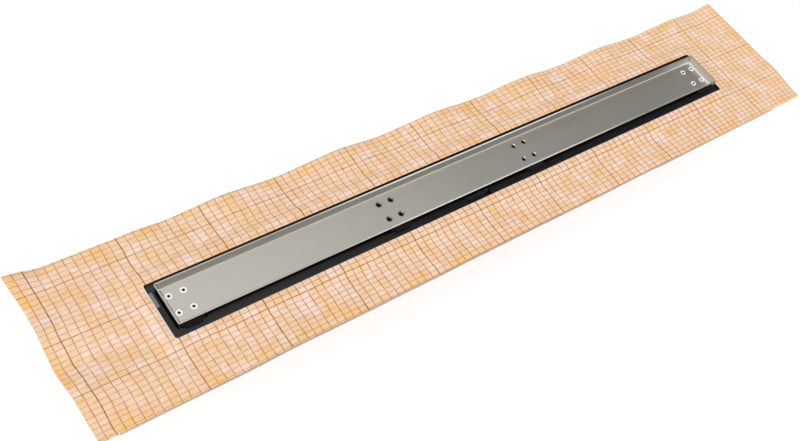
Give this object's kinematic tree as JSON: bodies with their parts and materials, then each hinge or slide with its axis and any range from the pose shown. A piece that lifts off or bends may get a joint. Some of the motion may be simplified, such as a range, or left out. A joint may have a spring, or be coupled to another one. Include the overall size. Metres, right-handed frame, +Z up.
{
  "type": "linear shower drain",
  "caption": "Linear shower drain: a folded steel tile tray on screwed supports rests in a plastic channel with a bonded sealing membrane, a dry trap, a side outlet and levelling feet.",
  "frame": {"origin": "on the ground under the middle of the drain, at the bottom of the foot pads", "axes": "+X along the drain, +Y across it towards the outlet, +Z up"},
  "size_m": [1.14, 0.212, 0.0987],
  "materials": {
    "membrane_fleece": "pale orange fleece printed with a fine brown ruled grid",
    "channel_plastic": "black moulded polypropylene",
    "stainless_sheet": "stainless sheet brushed along its length",
    "screw_steel": "bright turned stainless screw",
    "support_plastic": "black moulded plastic",
    "spacer_plastic": "grey moulded plastic",
    "strainer_plastic": "dark grey moulded plastic",
    "seal_rubber": "black sealing rubber",
    "silicone": "translucent pale silicone",
    "outlet_plastic": "dark grey moulded polypropylene",
    "zinc_steel": "zinc plated steel",
    "pad_plastic": "black moulded plastic"
  },
  "bodies": {
    "root": {"sealing_membrane": "membrane_fleece", "channel_body": "channel_plastic", "cover_tray": "stainless_sheet", "tray_screws": "screw_steel", "tray_support_1": "support_plastic", "tray_support_2": "support_plastic", "tray_support_3": "support_plastic", "tray_support_4": "support_plastic", "end_spacer_left": "spacer_plastic", "end_spacer_right": "spacer_plastic", "hair_strainer": "strainer_plastic", "trap_insert": "strainer_plastic", "insert_seal": "seal_rubber", "trap_membrane": "silicone", "outlet_body": "outlet_plastic", "outlet_gasket": "seal_rubber", "outlet_screws": "zinc_steel", "levelling_studs": "zinc_steel", "lock_nuts": "zinc_steel", "foot_pads": "pad_plastic"}
  },
  "joints": []
}
